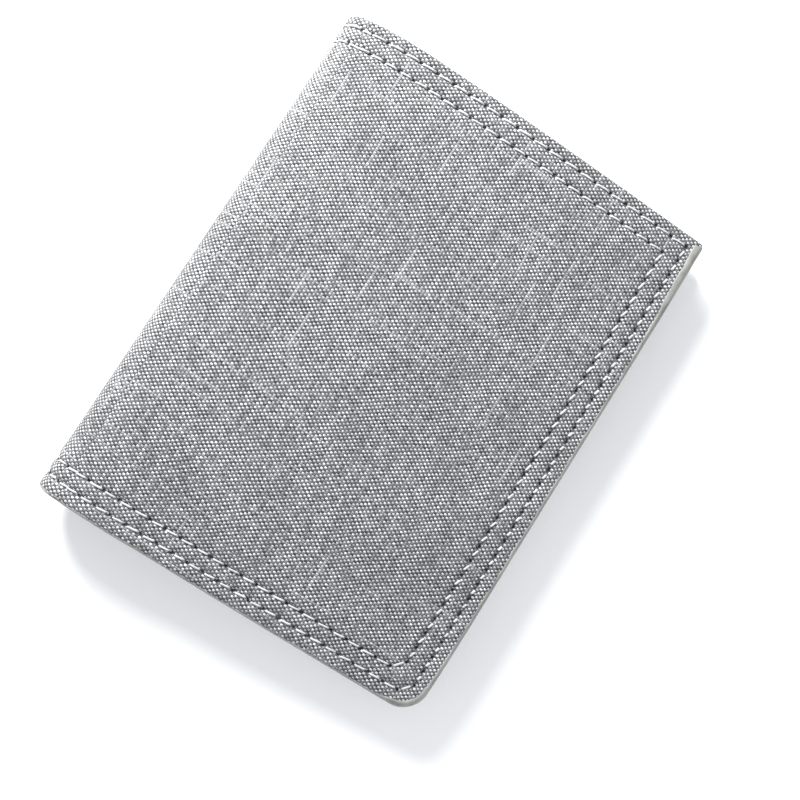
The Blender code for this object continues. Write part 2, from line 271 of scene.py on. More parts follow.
def inner_face(run, y):
    """Depth of the side of the leaf that faces the fold, with a soft step at each pocket mouth."""
    depths = layer_depths(run, y)
    face = depths["note_lining"] + LINING_PLY
    on_leaf = smooth((along_x(run) - CARD_X + 1.0 * MM) / (1.5 * MM))
    inside = smooth((INSIDE_TOP - y) / (1.0 * MM))
    face = face + (depths["inner_lining"] + LINING_PLY - face) * inside
    face = face + (depths["card_panel"] + PANEL_PLY - face) * inside * on_leaf
    for index in range(3):
        mouth = np.where(np.asarray(run) < 0, MOUTHS[-1][index], MOUTHS[1][index])
        share = smooth((mouth - y) / (0.6 * MM)) * on_leaf
        face = face + (depths[f"pocket_{index + 1}"] + POCKET_PLY - face) * share
    return face


def divided(start, end, count):
    """The ends of each of the equal pieces of a straight stretch."""
    places = [start + (end - start) * i / count for i in range(count + 1)]
    return list(zip(places, places[1:]))


class Row:
    """A row of stitches round half of the cover, from the spine's top to its bottom."""

    def __init__(self, side, bottom, top, pitches):
        self.side, self.bottom, self.top = side, bottom, top
        far, low, high = END_RUN - side, BOTTOM_Y + bottom, TOP_Y - top
        turn = [(far, low + CHAMFER), (far - CHAMFER, low)]
        corners = [np.array(place) for place in [(0.0, high), (far, high), *turn, (0.0, low)]]
        self.spans = []
        for start, end, pitch in zip(corners, corners[1:], pitches):
            length = np.linalg.norm(end - start)
            self.spans.append((start, end, length, max(1, round(length / pitch))))

    def stitches(self):
        """(start, end, number of the straight stretch) of each stitch."""
        return [(a, b, stretch) for stretch, (start, end, _, count) in enumerate(self.spans)
                for a, b in divided(start, end, count)]

    def nearest(self, run, y):
        """Distance across the row, and distance along it to the nearest needle hole."""
        across = np.full(np.shape(run), FAR_AWAY)
        hole = np.full(np.shape(run), FAR_AWAY)
        for start, end, length, count in self.spans:
            dx, dy = (end - start) / length
            from_x, from_y = np.abs(run) - start[0], y - start[1]
            t = np.clip(from_x * dx + from_y * dy, 0, length)
            distance = np.hypot(from_x - t * dx, from_y - t * dy)
            pitch = length / count
            to_hole = np.abs(t - np.round(t / pitch) * pitch)
            closer = distance < across
            across = np.where(closer, distance, across)
            hole = np.where(closer, to_hole, hole)
        return across, hole


# Distance of each row from the free side, the bottom and the top, and the lengths of its stitches
# along the top, the free side, the corner and the bottom.
OUTER_ROW = Row(3.6 * MM, 3.6 * MM, 2.8 * MM, (4.15 * MM, 3.55 * MM, 3.7 * MM, 3.7 * MM))
INNER_ROW = Row(7.6 * MM, 7.1 * MM, 6.8 * MM, (3.56 * MM, 3.55 * MM, 3.7 * MM, 3.7 * MM))
ROWS = (OUTER_ROW, INNER_ROW)


def hump(distance, width):
    return np.exp(-((distance / width) ** 2))


def seam_relief(run, y, with_holes=True):
    """Depth pressed into the cover by its two seams, and the swell between and beside them."""
    relief = np.zeros(np.shape(run))
    beside = np.full(np.shape(run), FAR_AWAY)
    for row in ROWS:
        across, hole = row.nearest(run, y)
        relief = relief + GROOVE * hump(across, GROOVE_WIDTH)
        pull = np.cos(np.clip(hole / HALF_STITCH, 0, 1) * math.pi)
        relief = relief + PUCKER * pull * hump(across, PUCKER_WIDTH)
        if with_holes:
            relief = relief + HOLE * hump(np.hypot(across, hole), HOLE_WIDTH)
        beside = np.minimum(beside, across)
    return relief - PILLOW * smooth(beside / PILLOW_START) * hump(beside, PILLOW_REACH)


def cloth_round(run, y):
    """How the cover turns down to its painted edge."""
    bend_radius = np.minimum(EDGE_RADIUS, inner_face(run, y) / 2 + PAINT)
    bend = bend_radius - PAINT
    inside = np.clip(bend_radius - edge_distance(run, y), 0, bend - 0.05 * MM)
    return bend - np.sqrt(bend**2 - np.minimum(inside, bend * 0.98) ** 2)


def board_print(run, y):
    """The stiffening board's edge showing faintly through the cover."""
    low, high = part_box("front_stiffener")
    x = along_x(run)
    inside = smooth((x - low.x) / BOARD_SOFT) * smooth((high.x - x) / BOARD_SOFT)
    inside = inside * smooth((y - low.y) / BOARD_SOFT) * smooth((high.y - y) / BOARD_SOFT)
    return -BOARD_SHOWS * inside


def face_relief(run, y, with_holes=True):
    return seam_relief(run, y, with_holes) + cloth_round(run, y) + board_print(run, y)


# Meshes.


def add_object(name, data):
    obj = bpy.data.objects.new(name, data)
    bpy.context.scene.collection.objects.link(obj)
    return obj


def finish_mesh(name, points, faces, cloth, sharp=60):
    """A smooth-shaded object from points and faces, with its place on the cloth for the weave."""
    mesh = bpy.data.meshes.new(name)
    mesh.from_pydata([tuple(p) for p in points], [], faces)
    kept = mesh.attributes.new("cloth", "FLOAT_VECTOR", "POINT")
    kept.data.foreach_set("vector", np.asarray(cloth, np.float32).ravel())
    tidy = bmesh.new()
    tidy.from_mesh(mesh)
    bmesh.ops.recalc_face_normals(tidy, faces=tidy.faces)
    tidy.to_mesh(mesh)
    tidy.free()
    mesh.shade_smooth()
    mesh.set_sharp_from_angle(angle=math.radians(sharp))
    return add_object(name, mesh)


def quads(index, after):
    """Four-cornered faces between neighbouring rows; after holds each column's next column."""
    corners = index[..., :-1, :], index[..., 1:, :], after[..., 1:, :], after[..., :-1, :]
    return np.stack(corners, -1).reshape(-1, 4).tolist()


def closed_sheet(name, outer, inner, cloth, coarse=1):
    """A sheet closed round its rim; only every few rows and columns of its inner grid are kept."""
    rows, columns = outer.shape[:2]
    index = np.arange(rows * columns).reshape(rows, columns)
    faces = np.stack([index[:-1, :-1], index[:-1, 1:], index[1:, 1:], index[1:, :-1]], -1)
    faces = faces.reshape(-1, 4).tolist()
    keep_rows = np.unique(np.r_[np.arange(0, rows, coarse), rows - 1])
    keep_columns = np.unique(np.r_[np.arange(0, columns, coarse), columns - 1])
    kept = np.ix_(keep_rows, keep_columns)
    thin = inner[kept]
    back = np.arange(thin.shape[0] * thin.shape[1]).reshape(thin.shape[:2]) + rows * columns
    faces += quads(back[:, :-1], back[:, 1:])
    for fine, rough, keep in ((index, back, keep_columns), (index.T, back.T, keep_rows)):
        for edge in (0, -1):
            for i, (a, b) in enumerate(zip(keep, keep[1:])):
                rim = [*fine[edge, a:b + 1], rough[edge, i + 1], rough[edge, i]]
                faces.append([int(place) for place in rim])
    points = np.concatenate([outer.reshape(-1, 3), thin.reshape(-1, 3)])
    places = np.concatenate([cloth.reshape(-1, 3), cloth[kept].reshape(-1, 3)])
    return finish_mesh(name, points, faces, places)


def on_cloth(run, y, layer=0.0):
    """Places on the cloth for the points of a grid."""
    return np.stack([run, np.broadcast_to(y, run.shape), np.full(run.shape, layer)], -1)


def ply_sheet(name, run, y, depth, ply, thin=0.0, raised=0.0, layer=0.0):
    """A closed ply, thinned where its rim is rounded and raised where it is folded over."""
    outer = wrap(run, y, depth + thin)
    inner = wrap(run, y, depth + ply + raised - thin)
    return closed_sheet(name, outer, inner, on_cloth(run, y, layer))


def stops(low, high, step, fine_at=(), fine_step=0.16 * MM, fine_reach=0.8 * MM):
    """Grid stops from low to high, closer together round some places."""
    values = list(np.linspace(low, high, max(2, round((high - low) / step) + 1)))
    for place in fine_at:
        values += list(np.arange(place - fine_reach, place + fine_reach, fine_step))
    kept = [low]
    for value in sorted(v for v in values if low < v < high):
        if value - kept[-1] > 0.6 * fine_step:
            kept.append(value)
    if high - kept[-1] < 0.4 * fine_step:
        kept.pop()
    return np.array(kept + [high])


def outline_run(y, inset, high, top_radius):
    """Where a leaf-shaped outline's free side lies at height y."""
    low, radius = BOTTOM_Y + inset, CORNER_C - inset
    limit = np.full(np.shape(y), END_RUN - inset)
    down = np.clip(low + radius - y, 0, radius)
    up = np.clip(y - high + top_radius, 0, top_radius)
    limit = limit - radius + np.sqrt(radius**2 - down**2)
    return limit - top_radius + np.sqrt(top_radius**2 - up**2)


def corner_stops(inset, steps):
    """Heights of the rows that cross the round corner of an outline."""
    low, radius = BOTTOM_Y + inset, CORNER_C - inset
    return [low + radius * (1 - math.cos(math.pi / 2 * i / steps)) for i in range(steps)]


def sheet_stops(inset, top):
    straight = stops(BOTTOM_Y + inset + (CORNER_C - inset), top, 1.0 * MM)
    return np.concatenate([corner_stops(inset, 8), straight])


def bend(piece, part, depth):
    """Bakes a piece's transform into its mesh; depth is not used."""

    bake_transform(piece)


def dress(piece, material, nodes=(), leaf=None):
    piece.data.materials.append(material)
    if nodes:
        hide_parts(*nodes)
    if leaf:
        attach(piece, f"{leaf}_leaf")


def spine_nodes(part, layer):
    """The frame's nodes that one layer of a part of the shell stands for."""
    sides = ("spine_back", "spine_front") if part == "spine" else (part,)
    return [f"{side}_{layer}" for side in sides]


SPLIT_STEP = 0.08 * MM


def shell_columns(part, step, fine_at=()):
    """Runs of the columns of the spine's share, or of a leaf's share at its full width."""
    if part == "spine":
        ends = (-SPLIT_RUN, SPLIT_RUN)
        return stops(*ends, step, ends, SPLIT_STEP, SPLIT_STEP + 0.01 * MM)
    runs = stops(SPLIT_RUN, END_RUN, step, fine_at)
    return np.sort(np.concatenate([runs, [SPLIT_RUN + SPLIT_STEP]]))


def shell_grid(part, columns, limits):
    """Signed run of every grid point; limits is the outline's run at each row."""
    if part == "spine":
        return np.repeat(columns[None, :], len(limits), axis=0)
    share = (columns - SPLIT_RUN) / (END_RUN - SPLIT_RUN)
    runs = SPLIT_RUN + share[None, :] * (limits[:, None] - SPLIT_RUN)
    return -runs if part == "back" else runs


COVER_STEP = 0.45 * MM
ROLL_STEPS = 10


def cover_section():
    """Rows of the cover from the bottom edge to the top, over the roll and down the hem.

    Each row is (y, depth, inward y, inward depth, length along the cloth)."""
    seams = [BOTTOM_Y + row.bottom for row in ROWS] + [TOP_Y - row.top for row in ROWS]
    face_end = TOP_Y - ROLL
    ys = stops(BOTTOM_Y + CLOTH_INSET, face_end, COVER_STEP, seams)
    corner = corner_stops(CLOTH_INSET, 14)
    ys = np.concatenate([corner, ys[ys > corner[-1] + 0.2 * MM]])
    rows = [(y, 0.0, 0.0, 1.0, y) for y in ys]
    for i in range(1, ROLL_STEPS):
        a = math.pi * i / ROLL_STEPS
        y, depth = face_end + ROLL * math.sin(a), ROLL * (1 - math.cos(a))
        rows.append((y, depth, -math.sin(a), math.cos(a), face_end + ROLL * a))
    for y in stops(TOP_Y - HEM, face_end, 1.0 * MM)[::-1]:
        rows.append((y, 2 * ROLL, 0.0, -1.0, face_end + ROLL * math.pi + face_end - y))
    return np.array(rows)


def build_cover(part, material):
    rows = cover_section()
    y, depth, in_y, in_depth, length = (rows[:, i][:, None] for i in range(5))
    limits = outline_run(rows[:, 0], CLOTH_INSET, TOP_Y, CORNER_B)
    columns = shell_columns(part, COVER_STEP, [END_RUN - row.side for row in ROWS])
    run = shell_grid(part, columns, limits)
    y = np.broadcast_to(y, run.shape)
    on_face = smooth((ROLL * 0.4 - depth) / (ROLL * 0.4))
    relief = face_relief(run, y) * on_face
    outer = wrap(run, y, depth + relief)
    inner = wrap(run, y + in_y * CANVAS_PLY, depth + relief + in_depth * CANVAS_PLY)
    piece = closed_sheet(f"{part}_cover_canvas", outer, inner, on_cloth(run, length), coarse=4)
    nodes = spine_nodes(part, "cover")
    if part != "spine":
        nodes.append(f"{part}_top_hem")
    dress(piece, material, nodes)
    bend(piece, part, CANVAS_PLY / 2)


def build_lining(part, layer, top, middle, material):
    ys = sheet_stops(LINING_INSET, top)
    limits = outline_run(ys, LINING_INSET, top, CORNER_B)
    run = shell_grid(part, shell_columns(part, 0.9 * MM), limits)
    y = np.broadcast_to(ys[:, None], run.shape)
    depth = layer_depths(run, y)[layer]
    piece = ply_sheet(f"{part}_{layer}_cloth", run, y, depth, LINING_PLY)
    dress(piece, material, spine_nodes(part, layer))
    bend(piece, part, middle)


# Points along a stitch and round it, and how deep its ends dive into their holes.
STITCH_STATIONS = 13
STITCH_AROUND = 12
DIVE = 0.42 * MM
TWIST_PITCH = 1.6 * MM


def stitch_mesh(name, stitches, seat, towards, radius, seed):
    """Twisted thread stitches: (start, end, share shown, lift, slant, thickness) on the sheet.

    seat(run, y) is the depth the thread lies at, and towards is -1 where it stands out of the
    cover and +1 where it stands into the fold."""
    chance = np.random.default_rng(seed)
    u = np.linspace(-1, 1, STITCH_STATIONS)
    phi = np.linspace(0, 2 * math.pi, STITCH_AROUND, endpoint=False)
    places = []
    for start, end, shown, lift, slant, thickness in stitches:
        length = np.linalg.norm(end - start)
        direction = (end - start) / length
        across = np.array([-direction[1], direction[0]])
        middle = (start + end) / 2 + direction * chance.normal(0, 0.06 * MM)
        half = length * shown / 2 * (1 + chance.normal(0, 0.04))
        tilt = slant + chance.normal(0, 0.05 * MM)
        centre = middle + np.outer(u * half, direction) + np.outer(u * tilt / 2, across)
        rise = lift * (1 + chance.normal(0, 0.15)) * (1 - u**4) - DIVE * np.abs(u) ** 7
        width = radius * thickness * (1 + chance.normal(0, 0.05)) * (1 - 0.35 * np.abs(u) ** 8)
        twist = 5.0 * u[:, None] * half / TWIST_PITCH
        lobes = 1 + 0.10 * np.cos(3 * (phi[None, :] - twist))
        side, up = (width[:, None] * lobes * turn[None, :] for turn in (np.cos(phi), np.sin(phi)))
        run, y = (centre[:, axis, None] + side * across[axis] for axis in (0, 1))
        depth = seat(*centre.T)[:, None] + towards * (rise[:, None] + up)
        places.append(np.stack([run, y, depth], -1))
    places = np.array(places)
    index = np.arange(places.size // 3).reshape(places.shape[:3])
    faces = quads(index, np.roll(index, -1, axis=2))
    faces += index[:, 0].tolist() + index[:, -1, ::-1].tolist()
    flat = places.reshape(-1, 3)
    return finish_mesh(name, wrap(flat[:, 0], flat[:, 1], flat[:, 2]), faces, flat)


# How much of each stitch shows, how far it stands out in mm, how it slants in mm and how thick it
# is, for the top, the free side, the corner and the bottom.
OUTER_LOOK = [(0.84, 0.22, 0.24, 0.95), (0.46, 0.12, 0.36, 1.25),
              (0.62, 0.14, 0.10, 1.1), (0.74, 0.17, 0.25, 0.95)]
INNER_LOOK = [(0.82, 0.19, 0.24, 0.95), (0.62, 0.14, 0.52, 1.15),
              (0.72, 0.15, 0.10, 1.1), (0.76, 0.18, 0.25, 0.95)]
FREE_SIDE = 1
SHOWN_AT_BOTTOM = 0.6
THREAD_SINK = 0.06 * MM


def cover_stitches(row, looks, side, in_spine):
    """The stitches of one row that belong to a leaf, or to one half of the spine."""
    chosen = []
    mirror = np.array([side, 1.0])
    for start, end, stretch in row.stitches():
        if ((start[0] + end[0]) / 2 < SPLIT_RUN) != in_spine:
            continue
        shown, lift, slant, thickness = looks[stretch]
        if stretch == FREE_SIDE:
            slant = -slant
            up = (start[1] - BOTTOM_Y) / (TOP_Y - BOTTOM_Y)
            shown *= SHOWN_AT_BOTTOM + (1 - SHOWN_AT_BOTTOM) * up
        look = (shown, lift * MM, slant * side * MM, thickness)
        chosen.append((start * mirror, end * mirror, *look))
    return chosen


def thread_seat(run, y):
    return face_relief(run, y, with_holes=False) - THREAD_SINK


def build_cover_seams(material):
    seams = (("outer", OUTER_ROW, OUTER_LOOK, 11), ("inner", INNER_ROW, INNER_LOOK, 23))
    parts = (("back", (-1,), -1), ("front", (1,), 1), ("spine", (-1, 1), 5))
    for label, row, looks, seed in seams:
        for part, sides, extra in parts:
            in_spine = part == "spine"
            chosen = [one for side in sides for one in cover_stitches(row, looks, side, in_spine)]
            name = f"{part}_{label}_stitches"
            piece = stitch_mesh(name, chosen, thread_seat, -1, THREAD, seed + extra)
            dress(piece, material, () if in_spine else [f"{part}_{label}_seam"])
            bend(piece, part, CANVAS_PLY / 2)


# The painted edge.

BEAD_STEP = 0.3 * MM
BEAD_START = math.radians(84)
TOP_TURN_STEPS = 6
CORNER_STEPS = 18
LIP_POINTS = 11
INNER_POINTS = 9
SWELL_STATIONS = 3.0
LEAST_SWELL = 0.3


def bead_path(part):
    """(run, y, outward run, outward y) of each station, down the free side and along the bottom."""
    if part == "spine":
        runs = stops(-SPLIT_RUN, SPLIT_RUN, 0.5 * MM)
        return np.array([(run, BOTTOM_Y, 0.0, -1.0) for run in runs])
    stations = []

    def turn(run, y, radius, angles):
        for a in angles:
            out = (math.cos(a), math.sin(a))
            stations.append((run + radius * out[0], y + radius * out[1], *out))

    top = TOP_Y - CORNER_B - 0.1 * MM
    angles = [BEAD_START - BEAD_START * i / TOP_TURN_STEPS for i in range(TOP_TURN_STEPS + 1)]
    turn(END_RUN - CORNER_B, top, CORNER_B, angles)
    for y in stops(BOTTOM_Y + CORNER_C, top, BEAD_STEP)[::-1][1:]:
        stations.append((END_RUN, y, 1.0, 0.0))
    angles = [-math.pi / 2 * i / CORNER_STEPS for i in range(1, CORNER_STEPS + 1)]
    turn(END_RUN - CORNER_C, BOTTOM_Y + CORNER_C, CORNER_C, angles)
    for run in stops(SPLIT_RUN, END_RUN - CORNER_C, BEAD_STEP)[::-1][1:]:
        stations.append((run, BOTTOM_Y, 0.0, -1.0))
    path = np.array(stations)
    if part == "back":
        path[:, [0, 2]] *= -1
    return path


def wander(run, y, pitch, seed):
    """A smooth, repeatable irregularity between -1 and 1 along an edge."""
    s = (np.abs(run) - y) / pitch + seed
    return (np.sin(s + seed) + 0.6 * np.sin(s * 2.3 + 1.7 * seed) + 0.4 * np.sin(s * 5.1)) / 2


def lip_width(run, y):
    """How far the paint laps onto the cover: broad at the top, a hairline along the bottom."""
    up = (y - BOTTOM_Y) / (TOP_Y - BOTTOM_Y)
    side = 1.0 * MM + 1.3 * MM * smooth((up - 0.72) / 0.28) + 0.8 * MM * smooth((0.13 - up) / 0.12)
    on_bottom = smooth((END_RUN - np.abs(run) - 4 * MM) / (8 * MM))
    width = side + (0.62 * MM - side) * on_bottom
    coarse, fine = wander(run, y, 2.1 * MM, 1.3), wander(run, y, 0.42 * MM, 5.7)
    return width + 0.15 * MM * coarse + 0.10 * MM * fine


def eased(values, reach):
    """Values along a path, raised to their highest neighbours and then averaged."""
    count = len(values)
    near = [np.arange(max(0, i - reach), min(count, i + reach + 1)) for i in range(count)]
    highest = np.array([values[some].max() for some in near])
    return np.array([highest[some].mean() for some in near])


def side_profile(radius, width, count):
    """From the lip on the face, along the flat and round to the middle of the edge."""
    radius, width = radius[:, None], width[:, None]
    flat = np.clip(width - radius, 0, None)
    first = np.arcsin(np.clip((radius - width) / radius, 0, 1))
    total = flat + radius * (math.pi / 2 - first)
    s = np.linspace(0, 1, count)[None, :] ** 1.2 * total
    on_flat = s < flat
    angle = np.where(on_flat, 0.0, first + np.clip(s - flat, 0, None) / radius)
    inwards = np.where(on_flat, width - s, radius * (1 - np.sin(angle)))
    depth = radius - PAINT - radius * np.cos(angle)
    sink = (PAINT + 0.05 * MM) * (1 - smooth(s / (0.28 * MM)))
    return np.stack([inwards + sink * np.sin(angle), depth + sink * np.cos(angle)], -1)


def bead_profile(path):
    """The painted edge's outline at each station, as (inward distance, depth)."""
    run, y = path[:, 0], path[:, 1]
    inward = 1.5 * MM
    deep = eased(inner_face(run - path[:, 2] * inward, y - path[:, 3] * inward), 8)
    radius = np.minimum(EDGE_RADIUS, deep / 2 + PAINT)
    outer = side_profile(radius, lip_width(run, y), LIP_POINTS)
    inner_lip = 1.1 * MM + 0.2 * MM * wander(run, y, 2.9 * MM, 4.1)
    inner = side_profile(radius, inner_lip, INNER_POINTS)
    lower = np.stack([inner[..., 0], deep[:, None] - inner[..., 1]], -1)[:, ::-1]
    tuck = np.array([0.1 * MM, 0.35 * MM])
    hidden = np.stack([lower[:, -1] + tuck * (1, -1), outer[:, 0] + tuck], 1)
    return np.concatenate([outer, lower, hidden], axis=1)


def build_bead(part, material):
    path = bead_path(part)
    profile = bead_profile(path)
    if part != "spine":
        end = np.clip(np.arange(len(path)) / SWELL_STATIONS, 0, 1)
        swell = np.sqrt(1 - (1 - end) ** 2) * (1 - LEAST_SWELL) + LEAST_SWELL
        middle = profile.mean(axis=1, keepdims=True)
        profile = middle + (profile - middle) * swell[:, None, None]
    run, y = (path[:, i, None] - profile[..., 0] * path[:, i + 2, None] for i in (0, 1))
    depth = profile[..., 1] - 0.035 * MM * wander(run, y, 1.1 * MM, 2.2)
    depth[:, :LIP_POINTS] += seam_relief(run, y, with_holes=False)[:, :LIP_POINTS]
    index = np.arange(run.size).reshape(run.shape)
    faces = quads(index, np.roll(index, -1, axis=1))
    faces += [index[0].tolist(), index[-1, ::-1].tolist()]
    points = wrap(run, y, depth).reshape(-1, 3)
    cloth = np.stack([run, y, profile[..., 1]], -1).reshape(-1, 3)
    piece = finish_mesh(f"{part}_painted_edge", points, faces, cloth, sharp=70)
    dress(piece, material, spine_nodes(part, "edge_paint"))
    bend(piece, part, 0.7 * MM)


# The inside of each leaf.

MOUTH_ROUND = 0.3 * MM
MOUTH_FOLD = 6.0 * MM
MOUTH_FOLD_PLY = 0.045 * MM


def leaf_sheet(side, name, layer, thickness, top, start_x):
    """A ply that lies in one leaf, with a turned upper edge."""
    rows = [(y, 0.0) for y in sheet_stops(INSIDE_INSET, top - MOUTH_ROUND)]
    for a in map(math.radians, (35, 65, 85)):
        rows.append((top - MOUTH_ROUND + MOUTH_ROUND * math.sin(a), 1 - math.cos(a)))
    ys, thinned = np.array(rows).T
    limits = outline_run(ys, INSIDE_INSET, top, 1.0 * MM)
    start = run_at(start_x)
    share = stops(0.0, 1.0, 1.0 * MM / (END_RUN - start), (), 0.1 * MM)
    run = side * (start + share[None, :] * (limits[:, None] - start))
    y = np.broadcast_to(ys[:, None], run.shape)
    squeeze = thinned[:, None] * thickness / 2 * 0.9
    depth = layer_depths(run, y)[layer]
    raised = MOUTH_FOLD_PLY * smooth((y - (top - MOUTH_FOLD)) / (0.5 * MM))
    return ply_sheet(name, run, y, depth, thickness, squeeze, raised, 0.01 * side)


WINDOW_LAP = 3.0 * MM
WINDOW_RADIUS = 3.0 * MM
WINDOW_ARC_STEPS = 6
WINDOW_SIDE_STEPS = 40
# Where the rings between the opening and the outline lie, and how the first ones thin the rim.
WINDOW_RINGS = np.concatenate([[0.0, 0.012, 0.03, 0.06], np.linspace(0.12, 1, 11)])
WINDOW_RIM = (0.5, 0.15)
CORNER_LEAD = 0.15


def window_corners():
    """(least run, least y, most run, most y) of the centres of the window's round corners."""
    low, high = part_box("front_window_film")
    inset = WINDOW_LAP + WINDOW_RADIUS
    return (run_at(low.x + inset), low.y + inset, run_at(high.x - inset), high.y - inset)


def window_loop(corners):
    """Points round the opening, starting on its free side and turning towards the top."""
    x_low, y_low, x_high, y_high = corners
    centres = [(x_high, y_high), (x_low, y_high), (x_low, y_low), (x_high, y_low)]
    arcs = []
    for quarter, (cx, cy) in enumerate(centres):
        steps = range(WINDOW_ARC_STEPS + 1)
        turns = [math.radians(90 * quarter + 90 * k / WINDOW_ARC_STEPS) for k in steps]
        arcs.append([(cx + WINDOW_RADIUS * math.cos(a), cy + WINDOW_RADIUS * math.sin(a))
                     for a in turns])
    loop = []
    for arc, after in zip(arcs, arcs[1:] + arcs[:1]):
        side = np.linspace(arc[-1], after[0], WINDOW_SIDE_STEPS + 1)[1:-1]
        loop += [*arc, *map(tuple, side)]
    return loop


def push_out(px, py, corners, outline):
    """Where a point of the opening lands on the pocket's outline, going straight out."""
    x_low, y_low, x_high, y_high = corners
    start, low, far, top = outline
    right, left, above, below = px >= x_high, px <= x_low, py >= y_high, py <= y_low
    x, x_from = (far, x_high) if right else (start, x_low)
    y, y_from = (top, y_high) if above else (low, y_low)
    if (right or left) and (above or below):
        t = math.atan2(abs(py - y_from), abs(px - x_from)) / (math.pi / 2)
        rounded = (CORNER_C - INSIDE_INSET, CORNER_LEAD) if right and below else ()
        return corner_place(t, x, y, x_from, y_from, *rounded)
    return (px, y) if above or below else (x, py)


def corner_place(t, x, y, x_from, y_from, radius=0.0, lead=0.5):
    """A place on the two sides that meet at (x, y), from t = 0 on the first to 1 on the second."""
    cx, cy = x - radius, y + radius
    if t <= lead:
        return (x, y_from + (cy - y_from) * t / lead)
    if t >= 1 - lead:
        return (cx + (x_from - cx) * (t - 1 + lead) / lead, y)
    angle = -(t - lead) / (1 - 2 * lead) * math.pi / 2
    return (cx + radius * math.cos(angle), cy + radius * math.sin(angle))


def window_surround(name, mouth):
    """The pocket nearest the fold, with a rounded opening: rings from the opening outwards."""
    corners = window_corners()
    outline = (run_at(CARD_X), BOTTOM_Y + INSIDE_INSET, END_RUN - INSIDE_INSET, mouth)
    loop = window_loop(corners)
    out = np.array([push_out(px, py, corners, outline) for px, py in loop])
    loop = np.array(loop)
    grid = loop[None] + (out - loop)[None] * WINDOW_RINGS[:, None, None]
    run, y = grid[..., 0], grid[..., 1]
    squeeze = np.zeros((len(WINDOW_RINGS), 1))
    squeeze[:len(WINDOW_RIM), 0] = WINDOW_RIM
    squeeze = squeeze * POCKET_PLY * 0.9
    depth = layer_depths(run, y)["pocket_3"]
    outer = wrap(run, y, depth + squeeze)
    inner = wrap(run, y, depth + POCKET_PLY - squeeze)
    index = np.arange(run.size).reshape(run.shape)
    after = np.roll(index, -1, axis=1)
    faces = quads(index, after)
    faces += [[a + run.size for a in (face[0], face[3], face[2], face[1])] for face in faces]
    for ring in (0, -1):
        near, following = index[ring], after[ring]
        rim = [near, following, following + run.size, near + run.size]
        faces += np.stack(rim, -1).tolist()
    points = np.concatenate([outer.reshape(-1, 3), inner.reshape(-1, 3)])
    cloth = on_cloth(run, y, 0.01).reshape(-1, 3)
    return finish_mesh(name, points, faces, np.concatenate([cloth, cloth]))


FINE_LOOK = (0.82, 0.07 * MM, 0.1 * MM, 1.0)


def build_inside_thread(side, name, node, corners, pitch, seat, seed, material):
    corners = [np.array([side * run, y]) for run, y in corners]
    chosen = []
    for start, end in zip(corners, corners[1:]):
        count = max(1, round(np.linalg.norm(end - start) / pitch))
        chosen += [(a, b, *FINE_LOOK) for a, b in divided(start, end, count)]
    piece = stitch_mesh(f"{name}_stitches", chosen, seat, 1, FINE_THREAD, seed + side)
    dress(piece, material, [node], LEAF_NAMES[side])


def build_mouth_thread(side, number, mouth, node, material):
    y = mouth - 2.0 * MM
    ends = [(run_at(CARD_X + 2.2 * MM), y), (END_RUN - 4.6 * MM, y)]

    def seat(run, height):
        return layer_depths(run, height)[f"pocket_{number}"] + POCKET_PLY + 0.03 * MM

    build_inside_thread(side, node, node, ends, FINE_PITCH, seat, 40 + number, material)


def fold_seat(run, y):
    return inner_face(run, y) - 0.02 * MM


def build_inside_seams(side, material):
    far, low = END_RUN - OUTER_ROW.side, BOTTOM_Y + OUTER_ROW.bottom
    high = INSIDE_TOP - 1.5 * MM
    near, fold = run_at(CARD_X + 1.5 * MM), run_at(CARD_X + 1.3 * MM)
    corners = [(far, high), (far, low + CHAMFER), (far - CHAMFER, low), (near, low)]
    down = [(fold, high), (fold, BOTTOM_Y + 5.0 * MM)]
    seams = (("inside", corners, 3.6 * MM, 60), ("spine_side", down, FINE_PITCH, 80))
    for label, places, pitch, seed in seams:
        name = f"{LEAF_NAMES[side]}_{label}"
        build_inside_thread(side, name, f"{name}_seam", places, pitch, fold_seat, seed, material)


def node_grid(node, step):
    """(run, y) grid over the box of one of the frame's nodes."""
    low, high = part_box(node)
    return np.meshgrid(stops(run_at(low.x), run_at(high.x), step), stops(low.y, high.y, step))


def build_stiffener(side, material):
    leaf = LEAF_NAMES[side]
    reach, y = node_grid(f"{leaf}_stiffener", 1.5 * MM)
    inwards = [reach - reach.min(), reach.max() - reach, y - y.min(), y.max() - y]
    soften = 0.12 * MM * (1 - smooth(np.minimum.reduce(inwards) / (1.4 * MM)))
    depth = CANVAS_PLY + 0.06 * MM
    piece = ply_sheet(f"{leaf}_board", side * reach, y, depth, BOARD_PLY, soften)
    dress(piece, material, [f"{leaf}_stiffener"], leaf)


def build_film(material):
    run, y = node_grid("front_window_film", 2.0 * MM)
    depth = layer_depths(run, y)["pocket_3"] - FILM_PLY - 0.04 * MM
    piece = ply_sheet("front_window_clear", run, y, depth, FILM_PLY)
    dress(piece, material, ["front_window_film"], "front")


